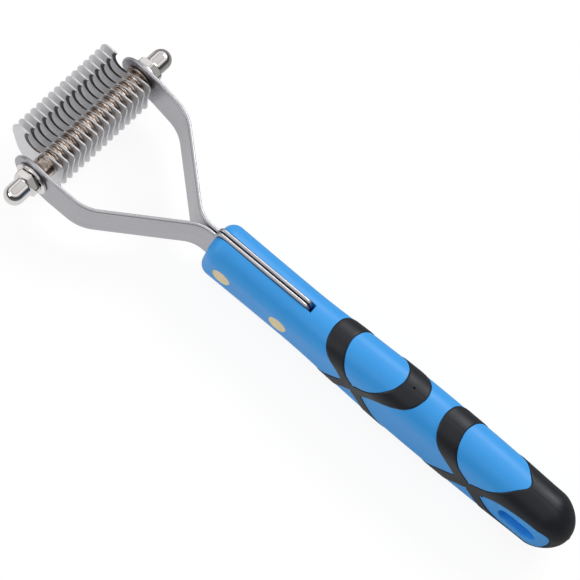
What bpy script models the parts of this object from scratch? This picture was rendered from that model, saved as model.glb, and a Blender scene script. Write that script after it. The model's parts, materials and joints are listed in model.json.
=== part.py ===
"""Undercoat rake for dogs and cats.

Sixteen hooked blades and their spacers sit on an axle between two bent strip arms.
A cap nut on each end clamps the stack. The arms' tangs lie side by side in the slot
of a moulded handle, held by two rivets, and soft rubber is moulded round the grip.
+X runs along the handle to its butt, +Y across it, and +Z is the side the hooks face.
"""

import math

import bmesh
import bpy
import numpy as np
from mathutils import Matrix, Vector

MM = 0.001
GAP = 0.2  # between pieces that touch on the real object

# Where the origin (bottom centre of the whole object) lies in the layout below
ORIGIN = (84.736, 2.693, -14.197)

# The head: its axle runs along the head's own Y, a little out of square to the handle
HEAD_PIVOT_X = 35.1
HEAD_SKEW = math.radians(4.4)

BLADES = 16
BLADE_PITCH = 2.475
BLADE_THICK = 0.45
FIRST_BLADE_Y = -16.9
BORE_R = 2.65
AXLE_R = 2.4
AXLE_HALF = 29.5
SPACER_R = 3.55
COLLAR_Y = (-21.75, -18.05)
END_WASHER_R = 5.0
SEAM_DEPTH = 0.3  # each spacer is two rings pressed together, with a seam half way
# Side outline of a blade about its axle: hook, cutting edge, hub, tail, back
HOOK_POINT = (-9.0, 6.3)
BLADE_EDGE = [
    (-9.3, 4.1), (-9.0, 2.3), (-8.1, 0.9), (-6.6, 0.3), (-4.7, 0.6),
    (-3.2, 1.5), (-1.0, 3.3), (2.2, 4.75), (4.5, 4.8), (5.2, 3.0),
    (5.45, -3.0), (6.1, -7.0), (6.25, -9.4), (5.4, -11.4), (3.6, -13.2),
    (0.8, -14.15), (-3.0, -13.9), (-7.6, -12.1), (-11.0, -8.9), (-13.3, -4.3),
    (-14.8, -0.4), (-14.75, 3.0), (-13.0, 5.5),
]

ARM_THICK = 1.15
ARM_FACE_Y = 23.3  # outer face at the axle
ARM_HALF_WIDTH = 7.6
ARM_PAD_X = 6.5  # the arm is square to the axle up to here, then leans in a little
ARM_BEND_X = 18.8
ARM_LEAN = math.radians(4.2)
ARM_SLANT = math.radians(39.3)
BEND_RADII = (25.0, 14.0, 10.0)
TANG_FACE_Y = 1.35
TANG_X = (50.2, 85.2)
TANG_HALF_HEIGHT = 10.85

WASHER_R = 5.6
WASHER_THICK = 1.0
HEX_CORNER_R = 4.65
HEX_THICK = 2.6
DOME_R = 3.3
NUT_LENGTH = 9.7  # hex seat to the top of the dome
NUT_BORE_DEPTH = 6.2

HANDLE_X = (50.6, 185.4)
FRONT_ROUND = 3.8
BUTT_ROUND_X = 176.0
SECTION_FLAT = 0.4  # half width of the flat along the top
STATIONS_X = (50.6, 72, 84, 90, 96, 102, 108, 120, 132, 150, 162, 171, 185.4)
HALF_WIDTHS = (7.2, 7.2, 7.2, 7.22, 7.3, 7.38, 7.45, 7.6, 7.65, 7.65, 7.55, 7.42, 7.3)
HALF_HEIGHTS = (10.7, 10.35, 10.3, 10.6, 11.2, 11.8, 12.3, 13.1, 13.3, 13.1, 12.6, 12.0, 11.6)
SLOT_HALF_WIDTH = 1.5
SLOT_END_X = 86.0
RIVET_X = (58.9, 80.3)
RIVET_HEAD_R = 3.05
RIVET_SHANK_R = 1.9
HANG_HOLE_X = 171.1
HANG_HOLE_LENGTH = 13.0
HANG_HOLE_HEIGHT = 6.2

RUBBER_PROUD = 0.2
RUBBER_DEPTH = 1.3
# Edges of the rubber as (round the grip, along the grip): 0 on the top line, 1 mid-side
FRONT_OUTER = [(0, 93.8), (.2, 94.2), (.4, 95.5), (.585, 97.9), (.72, 100.4), (.87, 103.0), (1, 104.8)]
FRONT_INNER = [(0, 100.2), (.2, 100.8), (.4, 102.3), (.59, 104.2), (.77, 106.3), (.9, 108.6), (1, 108.6)]
BACK_INNER = [(0, 119.7), (.19, 119.0), (.38, 117.0), (.57, 114.5), (.75, 111.8), (.9, 108.6), (1, 108.6)]
BACK_OUTER = [(0, 127.7), (.19, 127.0), (.38, 125.0), (.53, 121.6), (.66, 118.4), (.82, 115.2), (1, 112.4)]
CAP_OUTER = [(0, 134.7), (.2, 135.3), (.4, 137.0), (.585, 139.8), (.72, 142.4), (.87, 145.5), (1, 147.9)]
CAP_INNER = [(0, 142.3), (.19, 142.9), (.38, 144.4), (.585, 146.9), (.76, 149.9), (.9, 152.8), (1, 152.8)]
CAP_POINT = [(0, 166.9), (.22, 164.3), (.42, 161.5), (.6, 158.5), (.76, 155.4), (.9, 152.8), (1, 152.8)]
RUBBER_COLUMNS = (0, .13, .25, .37, .48, .59, .7, .8, .9, 1)
# Upper edge of the blue window on each side of the butt, as (along the grip, height)
LEAF_TIP_X = 157.0
LEAF_EDGE = [(159.8, 3.1), (163.6, 5.5), (168.5, 6.6), (173.5, 6.9), (178.2, 6.6), (180.8, 4.6), (181.7, 0)]

HEAD_MATERIALS = {
    "blade": ((0.55, 0.56, 0.58, 1), 0.32, 1.0),
    "polished": ((0.72, 0.71, 0.70, 1), 0.10, 1.0),
    "arm": ((0.42, 0.42, 0.44, 1), 0.35, 1.0),
}
BLUE = ((0.045, 0.30, 0.78, 1), 0.38, 0.0)
BLACK = ((0.025, 0.026, 0.03, 1), 0.6, 0.0)
BRASS = ((0.83, 0.64, 0.32, 1), 0.4, 1.0)


def clear_scene():
    for obj in list(bpy.data.objects):
        bpy.data.objects.remove(obj, do_unlink=True)


def new_collection(name, hidden=False):
    collection = bpy.data.collections.new(name)
    bpy.context.scene.collection.children.link(collection)
    collection.hide_render = hidden
    return collection


def material(name, colour, roughness, metallic):
    mat = bpy.data.materials.new(name)
    mat.use_nodes = True
    shader = mat.node_tree.nodes["Principled BSDF"]
    shader.inputs["Base Color"].default_value = colour
    shader.inputs["Roughness"].default_value = roughness
    shader.inputs["Metallic"].default_value = metallic
    return mat


def place(obj, collection, parent=None):
    for old in list(obj.users_collection):
        old.objects.unlink(obj)
    collection.objects.link(obj)
    obj.parent = parent
    return obj


def finish(obj, mat):
    obj.data.materials.clear()
    obj.data.materials.append(mat)
    if obj.type == "MESH":
        obj.data.shade_smooth()
        obj.data.set_sharp_from_angle(angle=math.radians(35))
    return obj


def mesh_object(name, bm, collection, parent=None):
    mesh = bpy.data.meshes.new(name)
    bm.to_mesh(mesh)
    bm.free()
    return place(bpy.data.objects.new(name, mesh), collection, parent)


def outline_curve(name, outlines, half_depth, collection, parent=None):
    """A flat outline, with further outlines as holes, thickened both ways from its plane."""
    curve = bpy.data.curves.new(name, "CURVE")
    curve.dimensions = "2D"
    curve.fill_mode = "BOTH"
    curve.extrude = half_depth * MM
    for points in outlines:
        spline = curve.splines.new("POLY")
        spline.points.add(len(points) - 1)
        for slot, (x, y) in zip(spline.points, points):
            slot.co = (x * MM, y * MM, 0, 1)
        spline.use_cyclic_u = True
    return place(bpy.data.objects.new(name, curve), collection, parent)


def as_mesh(obj):
    """The curve object as a welded mesh object in the same place."""
    bpy.context.view_layer.update()
    graph = bpy.context.evaluated_depsgraph_get()
    mesh = bpy.data.meshes.new_from_object(obj.evaluated_get(graph))
    bm = bmesh.new()
    bm.from_mesh(mesh)
    bmesh.ops.remove_doubles(bm, verts=bm.verts, dist=1e-7)
    bmesh.ops.recalc_face_normals(bm, faces=bm.faces)
    bm.to_mesh(mesh)
    bm.free()
    name, collection = obj.name, obj.users_collection[0]
    parent, matrix = obj.parent, obj.matrix_world.copy()
    bpy.data.objects.remove(obj, do_unlink=True)
    solid = place(bpy.data.objects.new(name, mesh), collection, parent)
    bpy.context.view_layer.update()
    solid.matrix_world = matrix
    return solid


def cut(obj, cutter, operation="DIFFERENCE"):
    cutter.hide_render = True
    cutter.display_type = "WIRE"
    boolean = obj.modifiers.new(cutter.name, "BOOLEAN")
    boolean.operation = operation
    boolean.solver = "EXACT"
    boolean.object = cutter


def rounded(points, per_span=3):
    """A closed outline drawn smoothly through its points, with a corner at the first."""
    points = [Vector(point) for point in points]
    count = len(points)
    path = []
    for k, start in enumerate(points):
        end = points[(k + 1) % count]
        leave = (end - points[k - 1]) / 2 if k else end - start
        arrive = (points[(k + 2) % count] - start) / 2 if k < count - 1 else end - start
        for j in range(per_span):
            u = j / per_span
            path.append((2 * u ** 3 - 3 * u ** 2 + 1) * start + (u ** 3 - 2 * u ** 2 + u) * leave
                        + (3 * u ** 2 - 2 * u ** 3) * end + (u ** 3 - u ** 2) * arrive)
    return path


def circle(radius, count, x=0.0, y=0.0):
    return [(x + radius * math.cos(2 * math.pi * k / count),
             y + radius * math.sin(2 * math.pi * k / count)) for k in range(count)]


def turned(name, profile, steps, collection, parent=None, closed=True):
    """A profile of (radius, height) running down its outer side, turned about local Z."""
    mesh = bpy.data.meshes.new(name)
    points = [(r * MM, 0, h * MM) for r, h in profile]
    edges = [(k, k + 1) for k in range(len(points) - 1)]
    if closed:
        edges.append((len(points) - 1, 0))
    mesh.from_pydata(points, edges, [])
    obj = place(bpy.data.objects.new(name, mesh), collection, parent)
    screw = obj.modifiers.new("Turn", "SCREW")
    screw.axis = "Z"
    screw.steps = screw.render_steps = steps
    screw.use_merge_vertices = True
    screw.merge_threshold = 1e-6
    screw.use_smooth_shade = True
    return obj


def ring(name, inner, outer, y0, y1, steps, collection, parent, chamfer=0.0):
    """A round ring on the axle between two stations along it."""
    profile = [(outer, y1), (outer, y0), (inner, y0), (inner, y1)]
    if chamfer:
        profile[:2] = [(outer - chamfer, y1), (outer, y1 - chamfer), (outer, y0 + chamfer),
                       (outer - chamfer, y0)]
    obj = turned(name, profile, steps, collection, parent)
    obj.rotation_euler = (-math.pi / 2, 0, 0)
    return obj


def smooth(points, t):
    """A curve through (t, value) points that keeps to the run between neighbours."""
    xs, ys = np.array(points, float).T
    step = np.diff(xs)
    slope = np.diff(ys) / step
    tangent = np.zeros(len(xs))
    for k in range(1, len(xs) - 1):
        if slope[k - 1] * slope[k] > 0:
            w0, w1 = 2 * step[k] + step[k - 1], step[k] + 2 * step[k - 1]
            tangent[k] = (w0 + w1) / (w0 / slope[k - 1] + w1 / slope[k])
    tangent[-1] = slope[-1]
    k = int(np.clip(np.searchsorted(xs, t, side="right") - 1, 0, len(step) - 1))
    u = (t - xs[k]) / step[k]
    return ((1 + 2 * u) * (1 - u) ** 2 * ys[k] + u * (1 - u) ** 2 * step[k] * tangent[k]
            + u * u * (3 - 2 * u) * ys[k + 1] + u * u * (u - 1) * step[k] * tangent[k + 1])


# ---- the handle's section -------------------------------------------------------------
def section_size(x):
    """Half width, half height and corner radius of the grip at a station."""
    a = smooth(list(zip(STATIONS_X, HALF_WIDTHS)), x)
    b = smooth(list(zip(STATIONS_X, HALF_HEIGHTS)), x)
    into = x - HANDLE_X[0]
    if into < FRONT_ROUND:
        inset = FRONT_ROUND - math.sqrt(max(0, FRONT_ROUND ** 2 - (FRONT_ROUND - into) ** 2))
        return a - inset, b - inset, a - SECTION_FLAT - inset
    if x > BUTT_ROUND_X:
        u = min(1, (x - BUTT_ROUND_X) / (HANDLE_X[1] - BUTT_ROUND_X))
        shrink = math.sqrt(max(0, 1 - u ** 1.6))
        return a * shrink, b * shrink, (a - SECTION_FLAT) * shrink
    return a, b, a - SECTION_FLAT


def grip_point(x, t, proud=0.0):
    """The point at a station, t round the section from the top (0) past the side (1)."""
    a, b, r = section_size(x)
    a, b, r = a + proud, b + proud, r + proud
    flat, side = a - r, b - r
    arc = r * math.pi / 2
    quarter = flat + arc + side
    fold = abs(t)
    below = fold > 1
    s = (2 - fold if below else fold) * quarter
    if s < flat:
        y, z = s, b
    elif s < flat + arc:
        angle = (s - flat) / r
        y, z = flat + r * math.sin(angle), side + r * math.cos(angle)
    else:
        y, z = a, side - (s - flat - arc)
    return Vector((x, math.copysign(y, -t) if t else 0.0, -z if below else z))


# ---- the head -------------------------------------------------------------------------
def spacer_profile():
    """Half section of a spacer, with the seam between its two rings."""
    low, high = 0.1, BLADE_PITCH - BLADE_THICK - 0.1
    middle = (low + high) / 2
    return [(SPACER_R, high), (SPACER_R, middle + 0.15), (SPACER_R - SEAM_DEPTH, middle),
            (SPACER_R, middle - 0.15), (SPACER_R, low), (BORE_R, low), (BORE_R, high)]


def blade_mesh(collection, head):
    """One blade, its outline flat in XZ about the axle and its left face at local Y 0."""
    outlines = [rounded([HOOK_POINT] + BLADE_EDGE, 2), circle(BORE_R, 20)]
    obj = outline_curve("blade_outline", outlines, BLADE_THICK / 2, collection, head)
    obj = as_mesh(obj)
    turn = Matrix.Rotation(math.pi / 2, 4, "X")
    obj.data.transform(Matrix.Translation((0, BLADE_THICK / 2 * MM, 0)) @ turn)
    mesh = obj.data
    bpy.data.objects.remove(obj, do_unlink=True)
    return mesh


def build_blade_stack(parts, cutters, head, mats):
    mesh = blade_mesh(cutters, head)
    mesh.name = "blade"
    for k in range(BLADES):
        y = FIRST_BLADE_Y + k * BLADE_PITCH
        blade = place(bpy.data.objects.new(f"blade_{k + 1:02d}", mesh), parts, head)
        blade.location = (0, y * MM, 0)
        if k < BLADES - 1:
            spacer = turned(f"spacer_{k + 1:02d}", spacer_profile(), 18, parts, head)
            spacer.location = (0, (y + BLADE_THICK) * MM, 0)
            spacer.rotation_euler = (-math.pi / 2, 0, 0)
            finish(spacer, mats["polished"])
    finish(bpy.data.objects["blade_01"], mats["blade"])
    first, last = FIRST_BLADE_Y, FIRST_BLADE_Y + (BLADES - 1) * BLADE_PITCH + BLADE_THICK
    finish(ring("long_collar", BORE_R, SPACER_R, *COLLAR_Y, 24, parts, head, 0.2), mats["polished"])
    finish(ring("end_spacer_left", BORE_R, SPACER_R, COLLAR_Y[1] + 0.1, first - 0.1, 24,
                parts, head), mats["polished"])
    finish(ring("end_spacer_right", BORE_R, SPACER_R, last + 0.1, last + 0.6, 24,
                parts, head), mats["polished"])
    finish(ring("end_washer_right", BORE_R, END_WASHER_R, last + 0.68, last + 1.13, 24,
                parts, head), mats["polished"])


def build_axle(parts, head, mats):
    half = AXLE_HALF
    profile = [(0, half), (AXLE_R - 0.4, half), (AXLE_R, half - 0.4),
               (AXLE_R, -half + 0.4), (AXLE_R - 0.4, -half), (0, -half)]
    axle = turned("axle_rod", profile, 20, parts, head, closed=False)
    axle.rotation_euler = (-math.pi / 2, 0, 0)
    finish(axle, mats["polished"])


def build_nut(side, parts, cutters, head, mats):
    """The washer and the domed cap nut on one end, outward along the head's Y."""
    name = "right" if side > 0 else "left"
    seat = ARM_FACE_Y + GAP
    washer = ring(f"washer_{name}", BORE_R, WASHER_R, 0, WASHER_THICK, 32, parts, head, 0.3)
    washer.location = (0, side * seat * MM, 0)
    washer.rotation_euler = (-side * math.pi / 2, 0, 0)
    finish(washer, mats["polished"])
    bpy.ops.mesh.primitive_cylinder_add(vertices=6, radius=HEX_CORNER_R * MM,
                                        depth=HEX_THICK * MM, end_fill_type="NGON")
    nut = place(bpy.context.object, parts, head)
    nut.name = nut.data.name = f"cap_nut_{name}"
    nut.data.transform(Matrix.Translation((0, 0, HEX_THICK / 2 * MM)))
    nut.location = (0, side * (seat + WASHER_THICK + 0.15) * MM, 0)
    nut.rotation_euler = (-side * math.pi / 2, 0, 0)
    # The chamfer cone trims the six corners, and the dome is joined on above it
    rise = HEX_CORNER_R - 3.9
    cone = turned(f"{name}_chamfer", [(0, HEX_THICK + 1), (3.2, HEX_THICK + 1), (3.9, HEX_THICK),
                  (3.9 + rise * 1.6, HEX_THICK - rise), (3.9 + rise * 1.6, -1), (0, -1)],
                  36, cutters, nut, closed=False)
    straight = NUT_LENGTH - DOME_R
    arc = [(DOME_R * math.sin(k * math.pi / 16), straight + DOME_R * math.cos(k * math.pi / 16))
           for k in range(9)]
    dome = turned(f"{name}_dome", arc + [(DOME_R, 1.0), (0, 1.0)], 28, cutters, nut, closed=False)
    bore = turned(f"{name}_bore", [(0, NUT_BORE_DEPTH + 0.8), (BORE_R - 0.05, NUT_BORE_DEPTH),
                  (BORE_R - 0.05, -1), (0, -1)], 20, cutters, nut, closed=False)
    cut(nut, cone, "INTERSECT")
    cut(nut, dome, "UNION")
    cut(nut, bore)
    finish(nut, mats["polished"])


def head_to_layout(x, y):
    c, s = math.cos(HEAD_SKEW), math.sin(HEAD_SKEW)
    dx = x - HEAD_PIVOT_X
    return Vector((HEAD_PIVOT_X + c * dx + s * y, -s * dx + c * y))


def filleted(points, radii, steps=7):
    """The polyline with an arc of the given radius at each inner point."""
    path = [points[0]]
    for k, radius in enumerate(radii, 1):
        before = (points[k - 1] - points[k]).normalized()
        after = (points[k + 1] - points[k]).normalized()
        half = before.angle(after) / 2
        reach = radius / math.tan(half)
        centre = points[k] + (before + after).normalized() * (radius / math.sin(half))
        start = points[k] + before * reach - centre
        end = points[k] + after * reach - centre
        turn = start.angle_signed(end)
        for j in range(steps + 1):
            path.append(centre + Matrix.Rotation(-turn * j / steps, 2) @ start)
    path.append(points[-1])
    return path


def offset_path(path, distance):
    """The path moved sideways to its left by a distance, mitred at each point."""
    moved = []
    for k, point in enumerate(path):
        ahead = (path[min(k + 1, len(path) - 1)] - point)
        behind = (point - path[max(k - 1, 0)])
        ahead = (ahead if ahead.length else behind).normalized()
        behind = (behind if behind.length else ahead).normalized()
        normals = [Vector((-d.y, d.x)) for d in (behind, ahead)]
        mean = (normals[0] + normals[1]).normalized()
        moved.append(point + mean * (distance / mean.dot(normals[0])))
    return moved


def arm_plan(side):
    """Outer face of an arm seen from above, from past the axle to the end of the tang."""
    slant = math.tan(ARM_SLANT)
    bend_y = ARM_FACE_Y - math.tan(ARM_LEAN) * (ARM_BEND_X - ARM_PAD_X)
    end = head_to_layout(-9, side * ARM_FACE_Y)
    pad = head_to_layout(ARM_PAD_X, side * ARM_FACE_Y)
    bend = head_to_layout(ARM_BEND_X, side * bend_y)
    reach = head_to_layout(ARM_BEND_X + 10, side * (bend_y - 10 * slant))
    run = reach - bend
    tang_y = side * TANG_FACE_Y
    neck = bend + run * ((tang_y - bend.y) / run.y)
    return filleted([end, pad, bend, neck, Vector((TANG_X[1] + 1, tang_y))], BEND_RADII)


def arm_profile(axle_x):
    """Side outline: round about the axle, a plain strip, then the taller tang."""
    w, h = ARM_HALF_WIDTH, TANG_HALF_HEIGHT
    front, back = TANG_X
    upper = [(axle_x - w * math.sin(k * math.pi / 24), w * math.cos(k * math.pi / 24))
             for k in range(13)][::-1]
    upper += [(front - 0.3, w)]
    upper += [(front + 1.6 - 1.6 * math.cos(k * math.pi / 8), h - 1.6 + 1.6 * math.sin(k * math.pi / 8))
              for k in range(5)]
    upper += [(back - 2.2 + 2.2 * math.sin(k * math.pi / 8), h - 2.2 + 2.2 * math.cos(k * math.pi / 8))
              for k in range(5)]
    return upper + [(x, -z) for x, z in reversed(upper) if abs(z) > 1e-9]


def build_arm(side, parts, cutters, head, mats):
    name = "right" if side > 0 else "left"
    outer = arm_plan(side)
    inner = offset_path(outer, -side * ARM_THICK)
    arm = outline_curve(f"arm_{name}", [outer + inner[::-1]], TANG_HALF_HEIGHT + 2, parts)
    arm = as_mesh(arm)
    axle = head_to_layout(0, side * ARM_FACE_Y)
    profile = outline_curve(f"{name}_arm_outline", [arm_profile(axle.x)], 40, cutters)
    profile.rotation_euler = (math.pi / 2, 0, 0)
    cut(arm, as_mesh(profile), "INTERSECT")
    hole = outline_curve(f"{name}_arm_hole", [circle(BORE_R, 24)], 6, cutters, head)
    hole.location = (0, side * ARM_FACE_Y * MM, 0)
    hole.rotation_euler = (math.pi / 2, 0, 0)
    cut(arm, as_mesh(hole))
    for k, x in enumerate(RIVET_X, 1):
        shank = outline_curve(f"{name}_rivet_hole_{k}", [circle(RIVET_SHANK_R + GAP, 20, x)], 6, cutters)
        shank.rotation_euler = (math.pi / 2, 0, 0)
        cut(arm, as_mesh(shank))
    finish(arm, mats["arm"])


# ---- the handle -----------------------------------------------------------------------
def handle_stations():
    front = [HANDLE_X[0] + FRONT_ROUND * (1 - math.cos(k * math.pi / 8)) for k in range(4)]
    middle = list(np.arange(HANDLE_X[0] + FRONT_ROUND + 3.6, BUTT_ROUND_X - 1, 6.4))
    span = HANDLE_X[1] - BUTT_ROUND_X
    butt = [BUTT_ROUND_X + span * math.sin(k * math.pi / 16) for k in range(8)]
    return front + [HANDLE_X[0] + FRONT_ROUND] + middle + butt


def handle_solid(collection):
    """The grip as a loft of its rounded sections, with a point at the butt."""
    bm = bmesh.new()
    turns = [-2 + k / 9 for k in range(36)]
    rows = [[bm.verts.new(grip_point(x, t) * MM) for t in turns] for x in handle_stations()]
    for row, after in zip(rows, rows[1:]):
        for k in range(len(turns)):
            j = (k + 1) % len(turns)
            bm.faces.new((row[k], row[j], after[j], after[k]))
    tip = bm.verts.new((HANDLE_X[1] * MM, 0, 0))
    for k in range(len(turns)):
        bm.faces.new((rows[-1][k], rows[-1][(k + 1) % len(turns)], tip))
    bm.faces.new(rows[0][::-1])
    bmesh.ops.recalc_face_normals(bm, faces=bm.faces)
    bmesh.ops.triangulate(bm, faces=bm.faces)
    return mesh_object("handle_core", bm, collection)


def rubber_stretches(kind, t, margin):
    """The stretches of rubber along the grip at a turn t, as (start, end, rows)."""
    fold = 2 - abs(t) if abs(t) > 1 else abs(t)
    if kind == "band":
        a, b = smooth(FRONT_OUTER, fold), smooth(FRONT_INNER, fold)
        c, d = smooth(BACK_INNER, fold), smooth(BACK_OUTER, fold)
        if c - b > 2 * margin + 0.01:
            b, c = b + margin, c - margin
        else:
            b = c = (b + c) / 2
        return [(a - margin, b, 2), (c, d + margin, 2)]
    a, b = smooth(CAP_OUTER, fold), smooth(CAP_INNER, fold)
    c = smooth(CAP_POINT, fold)
    if c - b > 2 * margin + 0.01:
        b, c = b + margin, c - margin
    else:
        b = c = (b + c) / 2
    return [(a - margin, b, 2), (c, HANDLE_X[1], 10)]


def rubber_surface(name, kind, collection, margin=0.0, proud=RUBBER_PROUD):
    """The rubber's outer face as an open surface wrapped on the grip."""
    bm = bmesh.new()
    half = list(RUBBER_COLUMNS)
    upper = [-t for t in reversed(half)] + half[1:]
    lower = [2 - t for t in reversed(half[:-1])][:-1]
    turns = upper + lower + [2.0] + [-(2 - t) for t in half[1:-1]]
    columns = []
    for t in turns:
        column = []
        for start, end, count in rubber_stretches(kind, t, margin):
            for k in range(count + 1):
                u = k / count
                if end >= HANDLE_X[1]:
                    u = math.sin(u * math.pi / 2)
                x = start + (end - start) * u
                if x >= HANDLE_X[1] - 1e-6:
                    point = Vector((HANDLE_X[1] + proud, 0, 0))
                else:
                    point = grip_point(x, t, proud)
                column.append(bm.verts.new(point * MM))
        columns.append(column)
    runs, start = [], 0
    for _, _, count in rubber_stretches(kind, 0, margin):
        runs += [(start + k, start + k + 1) for k in range(count)]
        start += count + 1
    for k, column in enumerate(columns):
        after = columns[(k + 1) % len(columns)]
        for i, j in runs:
            bm.faces.new((column[i], column[j], after[j]))
            bm.faces.new((column[i], after[j], after[i]))
    bmesh.ops.remove_doubles(bm, verts=bm.verts, dist=1e-6)
    flat = [face for face in bm.faces if face.calc_area() < 1e-12]
    bmesh.ops.delete(bm, geom=flat, context="FACES")
    bmesh.ops.recalc_face_normals(bm, faces=bm.faces)
    middle = Vector((sum((v.co.x for v in bm.verts)) / len(bm.verts), 0, 0))
    face = max(bm.faces, key=lambda f: f.calc_center_median().z)
    if face.normal.dot(face.calc_center_median() - middle) < 0:
        bmesh.ops.reverse_faces(bm, faces=bm.faces)
    return mesh_object(name, bm, collection)


def leaf_outline(inset=0.0):
    """The blue window on the butt's side: pointed in front, rounded behind."""
    upper = [(LEAF_TIP_X, 0)] + LEAF_EDGE
    outline = rounded(upper + [(x, -z) for x, z in reversed(upper[1:-1])])
    half = (LEAF_EDGE[-1][0] - LEAF_TIP_X) / 2
    height = max(z for _, z in LEAF_EDGE)
    middle = LEAF_TIP_X + half
    return [(middle + (x - middle) * (1 - inset / half), z * (1 - inset / height)) for x, z in outline]


def cut_leaf(obj, inset, cutters):
    window = outline_curve(f"{obj.name}_leaf", [leaf_outline(inset)], 12, cutters)
    window.rotation_euler = (math.pi / 2, 0, 0)
    cut(obj, as_mesh(window))


def thicken(obj, inward, outward=0.0):
    solid = obj.modifiers.new("Thickness", "SOLIDIFY")
    solid.thickness = (inward + outward) * MM
    solid.offset = (outward - inward) / (inward + outward)
    solid.use_even_offset = True


def stadium(x, half_length, half_height, steps=8):
    flat = half_length - half_height
    right = [(x + flat + half_height * math.cos(k * math.pi / steps - math.pi / 2),
              half_height * math.sin(k * math.pi / steps - math.pi / 2)) for k in range(steps + 1)]
    return right + [(2 * x - px, -pz) for px, pz in right]


def build_handle(parts, cutters):
    core = handle_solid(parts)
    slot = outline_curve("slot", [[(40, -SLOT_HALF_WIDTH), (SLOT_END_X, -SLOT_HALF_WIDTH),
                                   (SLOT_END_X, SLOT_HALF_WIDTH), (40, SLOT_HALF_WIDTH)]], 20, cutters)
    cut(core, as_mesh(slot))
    openings = [("hang_hole", stadium(HANG_HOLE_X, HANG_HOLE_LENGTH / 2, HANG_HOLE_HEIGHT / 2))]
    openings += [(f"rivet_hole_{k}", circle(RIVET_HEAD_R + GAP, 28, x)) for k, x in enumerate(RIVET_X, 1)]
    for name, outline in openings:
        tool = outline_curve(name, [outline], 12, cutters)
        tool.rotation_euler = (math.pi / 2, 0, 0)
        cut(core, as_mesh(tool))
    for kind in ("band", "cap"):
        pocket = rubber_surface(f"{kind}_pocket", kind, cutters, GAP)
        thicken(pocket, RUBBER_DEPTH + GAP, 0.5)
        if kind == "cap":
            cut_leaf(pocket, GAP, cutters)
        cut(core, pocket)
    finish(core, material("handle_blue", *BLUE))
    for kind, name in (("band", "grip_band"), ("cap", "grip_butt_cap")):
        rubber = rubber_surface(name, kind, parts)
        thicken(rubber, RUBBER_DEPTH)
        if kind == "cap":
            cut_leaf(rubber, 0, cutters)
        finish(rubber, material(f"{name}_rubber", *BLACK))


def build_rivets(parts):
    head_y = HALF_WIDTHS[0]
    step = SLOT_HALF_WIDTH + GAP
    mat = material("rivet_brass", *BRASS)
    for k, x in enumerate(RIVET_X, 1):
        r, s, e = RIVET_HEAD_R, RIVET_SHANK_R, 0.15
        profile = [(0, head_y), (r - e, head_y), (r, head_y - e), (r, step), (s, step),
                   (s, -step), (r, -step), (r, -head_y + e), (r - e, -head_y), (0, -head_y)]
        rivet = turned(f"rivet_{'front' if k == 1 else 'rear'}", profile, 28, parts, closed=False)
        rivet.location = (x * MM, 0, 0)
        rivet.rotation_euler = (-math.pi / 2, 0, 0)
        finish(rivet, mat)


def main():
    clear_scene()
    parts = new_collection("undercoat_rake")
    cutters = new_collection("cutters", hidden=True)
    mats = {name: material(name, *look) for name, look in HEAD_MATERIALS.items()}
    head = bpy.data.objects.new("head_axis", None)
    place(head, parts)
    axle = head_to_layout(0, 0)
    head.location = (axle.x * MM, axle.y * MM, 0)
    head.rotation_euler = (0, 0, -HEAD_SKEW)
    bpy.context.view_layer.update()
    build_blade_stack(parts, cutters, head, mats)
    build_axle(parts, head, mats)
    for side in (-1, 1):
        build_nut(side, parts, cutters, head, mats)
        build_arm(side, parts, cutters, head, mats)
    build_handle(parts, cutters)
    build_rivets(parts)
    shift = Vector((-ORIGIN[0], -ORIGIN[1], -ORIGIN[2])) * MM
    for obj in bpy.data.objects:
        if obj.parent is None:
            obj.location += shift


main()
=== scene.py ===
"""The looks of an undercoat rake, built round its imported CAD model.

Lengths are in millimetres until a piece is placed. Two frames are used. The layout frame
has X along the handle's axis, with its zero under the axle, and Z up. The head frame has
Y along the axle, with its zero at the stack's middle.
"""

import json
import math

import bmesh
import bpy
import numpy as np
from mathutils import Matrix, Vector


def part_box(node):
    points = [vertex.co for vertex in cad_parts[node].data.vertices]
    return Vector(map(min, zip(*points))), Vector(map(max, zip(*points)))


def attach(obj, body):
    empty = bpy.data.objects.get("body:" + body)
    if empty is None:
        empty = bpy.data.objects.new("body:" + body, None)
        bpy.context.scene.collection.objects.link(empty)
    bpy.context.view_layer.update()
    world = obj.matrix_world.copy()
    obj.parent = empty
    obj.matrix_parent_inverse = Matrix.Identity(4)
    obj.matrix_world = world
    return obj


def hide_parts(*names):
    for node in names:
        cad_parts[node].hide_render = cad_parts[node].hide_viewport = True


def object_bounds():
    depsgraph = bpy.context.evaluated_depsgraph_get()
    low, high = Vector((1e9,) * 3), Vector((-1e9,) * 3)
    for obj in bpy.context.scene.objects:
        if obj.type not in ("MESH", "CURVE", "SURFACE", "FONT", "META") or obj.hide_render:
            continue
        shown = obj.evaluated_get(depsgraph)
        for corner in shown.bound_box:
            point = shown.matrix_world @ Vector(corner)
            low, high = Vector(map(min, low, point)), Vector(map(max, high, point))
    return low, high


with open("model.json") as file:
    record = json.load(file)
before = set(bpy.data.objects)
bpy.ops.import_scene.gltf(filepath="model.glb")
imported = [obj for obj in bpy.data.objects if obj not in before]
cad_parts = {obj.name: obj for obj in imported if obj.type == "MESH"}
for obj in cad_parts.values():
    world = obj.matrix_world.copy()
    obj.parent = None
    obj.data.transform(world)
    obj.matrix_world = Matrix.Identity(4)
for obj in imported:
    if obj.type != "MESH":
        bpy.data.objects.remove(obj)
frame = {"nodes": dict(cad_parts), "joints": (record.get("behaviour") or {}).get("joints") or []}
CAD_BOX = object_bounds()

MM = 0.001
SCENE = bpy.context.scene

# ---- the head's sizes -----------------------------------------------------------------
BORE_R = 2.65
SPACER_R = 3.55
END_WASHER_R = 5.0
SEAM_DEPTH = 0.55
SEAM_WIDTH = 0.22
RING_CROWN = 0.24
RING_EDGE = 0.1
RING_STEPS = 96
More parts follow.
